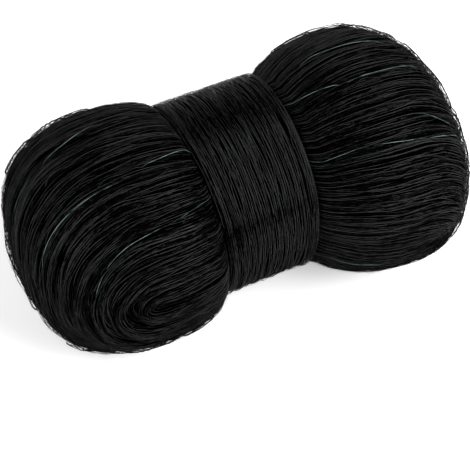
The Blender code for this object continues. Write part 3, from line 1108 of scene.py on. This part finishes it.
def thread_points(thread, rng):
    """One stretch: a thread that starts at 0 or 1 comes straight out of the band."""
    lobe = thread.lobe
    at_band = thread.first in (0, 1)
    steps = THREAD_STEPS - (NECK_POINTS + 1) * at_band
    share = np.linspace(thread.first, thread.last, steps)[None]
    s = share * STRAND_LENGTH
    along = np.linspace(0, 1, steps)[None]
    angle = between(thread.angle_first, thread.angle_last, along)
    sway = wobble(rng, 1, s, longest=0.15, shortest=0.05)
    turn = np.radians(angle) + THREAD_SWAY * sway
    shown = 1 - along if at_band else from_ends(along)
    buried = 1 - np.clip(THREAD_SLOPE * shown, 0, 1)
    height = THREAD_RISE - THREAD_DIP * buried
    height = height + 0.0003 * wobble(rng, 1, s, longest=0.10, shortest=0.03)
    # Painted shade: a stretch is painted darker towards where it dips under the strands.
    bright = np.sin(math.pi * (0.2 + 0.8 * along if at_band else along)) ** 0.8
    streaks = 0.8 + 0.4 * wobble(rng, 1, s, longest=0.04, shortest=0.01)
    shade = THREAD_DARKEST + thread.light * bright * streaks
    points, out = lobe_skin(lobe, turn, share, height)
    points = above_ground(points)
    if at_band:
        way = 1 if thread.first == 0 else -1
        low = neck(lobe, way * turn[:, 0], points[:, 0], THREAD_SUNK)
        ends = low.shape[1]
        points = np.concatenate([low, points], 1)
        out = np.concatenate([np.repeat(out[:, :1], ends, 1), out], 1)
        shade = np.concatenate([np.repeat(shade[:, :1], ends, 1), shade], 1)
    return points, out, np.clip(shade, 0, 1)


def make_threads(material):
    """Pale green threads among the strands. They dip under them in places."""
    made = []
    for number, thread in enumerate(THREADS):
        made.append(thread_points(thread, np.random.default_rng(700 + number)))
    points, out, shade = (np.concatenate(column) for column in zip(*made))
    return tubes("marker_threads", points, out, THREAD_RADIUS, material, shade, sides=4)


# ------ the studio
# The sky's brightness by height, 0 at the horizon and 1 straight up.
SKY = table("height bright", (0, 1), (0.1, 0.62), (0.45, 0.26))

FLOOR_RADIUS = 1.4  # it ends where it is still white, and the white sky goes on
FLOOR_SIDES = 96
FLOOR_Z = -0.0002
FLOOR_COLOUR = (0.90, 0.90, 0.90, 1)
FLOOR_GLOW = 0.45  # it shines by itself too, to be white

LAMPS = table(
    "name place size power",
    ("key", (0.8, -1.1, 1.15), 1.1, 38),
    ("rim", (-1, 0.95, 1), 1.4, 14),
)
LAMPS_AIM = Vector((0, 0, 0.08))


def make_sky():
    world = bpy.data.worlds.new("studio")
    bpy.context.scene.world = world
    world.use_nodes = True
    tree = world.node_tree
    way = add_node(tree, "TexCoord", {}).outputs["Generated"]
    parts = add_node(tree, "SeparateXYZ", {0: way})
    bright = add_node(tree, "ValToRGB", {"Fac": parts.outputs["Z"]})
    stops = bright.color_ramp.elements
    stops[1].position = SKY[2].height
    stops.new(SKY[1].height)
    for stop, row in zip(stops, SKY):
        stop.color = (row.bright, row.bright, row.bright, 1)
    inputs = {"Color": (1, 1, 1, 1), "Strength": bright.outputs["Color"]}
    feed(tree, tree.nodes["Background"], inputs)


def make_floor():
    rim = []
    for k in range(FLOOR_SIDES):
        angle = 2 * math.pi * k / FLOOR_SIDES
        x, y = FLOOR_RADIUS * math.cos(angle), FLOOR_RADIUS * math.sin(angle)
        rim.append((x, y, FLOOR_Z))
    mesh = bpy.data.meshes.new("floor")
    mesh.from_pydata(rim, [], [tuple(range(FLOOR_SIDES))])
    floor = new_object("floor", mesh)
    material = bpy.data.materials.new("floor")
    material.use_nodes = True
    inputs = {"Base Color": FLOOR_COLOUR, "Roughness": 0.9, "Specular IOR Level": 0.1}
    inputs.update({"Emission Color": (1, 1, 1, 1), "Emission Strength": FLOOR_GLOW})
    tree = material.node_tree
    feed(tree, tree.nodes["Principled BSDF"], inputs)
    mesh.materials.append(material)


def make_lamps():
    for row in LAMPS:
        light = bpy.data.lights.new(row.name, "AREA")
        light.size = row.size
        light.energy = row.power
        lamp = new_object(row.name, light)
        lamp.location = row.place
        aim = LAMPS_AIM - Vector(row.place)
        lamp.rotation_euler = aim.to_track_quat("-Z", "Y").to_euler()


# The camera looks down on the hank from the front and a little to the left.
VIEW_AZIMUTH = math.radians(-26.5)
VIEW_ELEVATION = math.radians(50)
VIEW_DISTANCE = 0.881
VIEW_RIGHT = 0.0032  # how far the middle of the view is right of the waist's middle
VIEW_DOWN = 0.0369  # and how far under it
LENS = 90.0
SENSOR_WIDTH = 36.0


def make_camera():
    level = math.cos(VIEW_ELEVATION)
    back = Vector(
        (
            math.sin(VIEW_AZIMUTH) * level,
            -math.cos(VIEW_AZIMUTH) * level,
            math.sin(VIEW_ELEVATION),
        )
    )
    right = Vector((math.cos(VIEW_AZIMUTH), math.sin(VIEW_AZIMUTH), 0))
    up = back.cross(right)
    camera = new_object("camera", bpy.data.cameras.new("camera"))
    camera.data.lens = LENS
    camera.data.sensor_width = SENSOR_WIDTH
    camera.rotation_euler = back.to_track_quat("Z", "Y").to_euler()
    camera.location = Vector(WAIST) + back * VIEW_DISTANCE
    camera.location += right * VIEW_RIGHT
    camera.location -= up * VIEW_DOWN
    bpy.context.scene.camera = camera


# ------ everything
# The twines' red, green and blue where they are darkest and where they are lightest.
NET, DEEP, BAND, SHEEN_TWINE, MARKER = table(
    "name dark light",
    ("net_twine", (0.0002, 0.0002, 0.0002), (0.05, 0.0503, 0.0509)),
    ("net_deep", (0.0003, 0.0003, 0.0003), (0.0006, 0.0006, 0.0006)),
    ("band_twine", (0.0003, 0.0003, 0.0003), (0.035, 0.0353, 0.0358)),
    # The fuzz is painted far lighter than the band's twine: a painted sheen.
    ("band_fuzz", (0.015, 0.015, 0.015), (0.17, 0.17, 0.17)),
    ("marker_thread", (0.008, 0.026, 0.021), (0.23, 0.32, 0.29)),
)


def main():
    net = net_material(*NET, dashes=2.0, dash=220)
    deep = net_material(*DEEP, roughness=0.9, specular=0.0)
    band = net_material(*BAND, dashes=2.4, dash=260)
    sheen_twine = net_material(*SHEEN_TWINE)
    marker = net_material(*MARKER)
    pieces = [make_core(deep)]
    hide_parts("net_hank")
    for lobe in (LEFT, RIGHT):
        pieces += make_strands(lobe, net)
        pieces += [make_mesh(lobe, net), make_loops(lobe, net)]
    pieces.append(make_threads(marker))
    core = make_band_core(deep)
    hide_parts("waist_band")
    turns = [core, *make_band(band), make_band_fuzz(sheen_twine)]
    for piece in pieces + turns:
        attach(piece, "root")
    make_sky()
    make_floor()
    make_lamps()
    make_camera()
    bpy.context.scene.view_settings.view_transform = "Standard"


main()
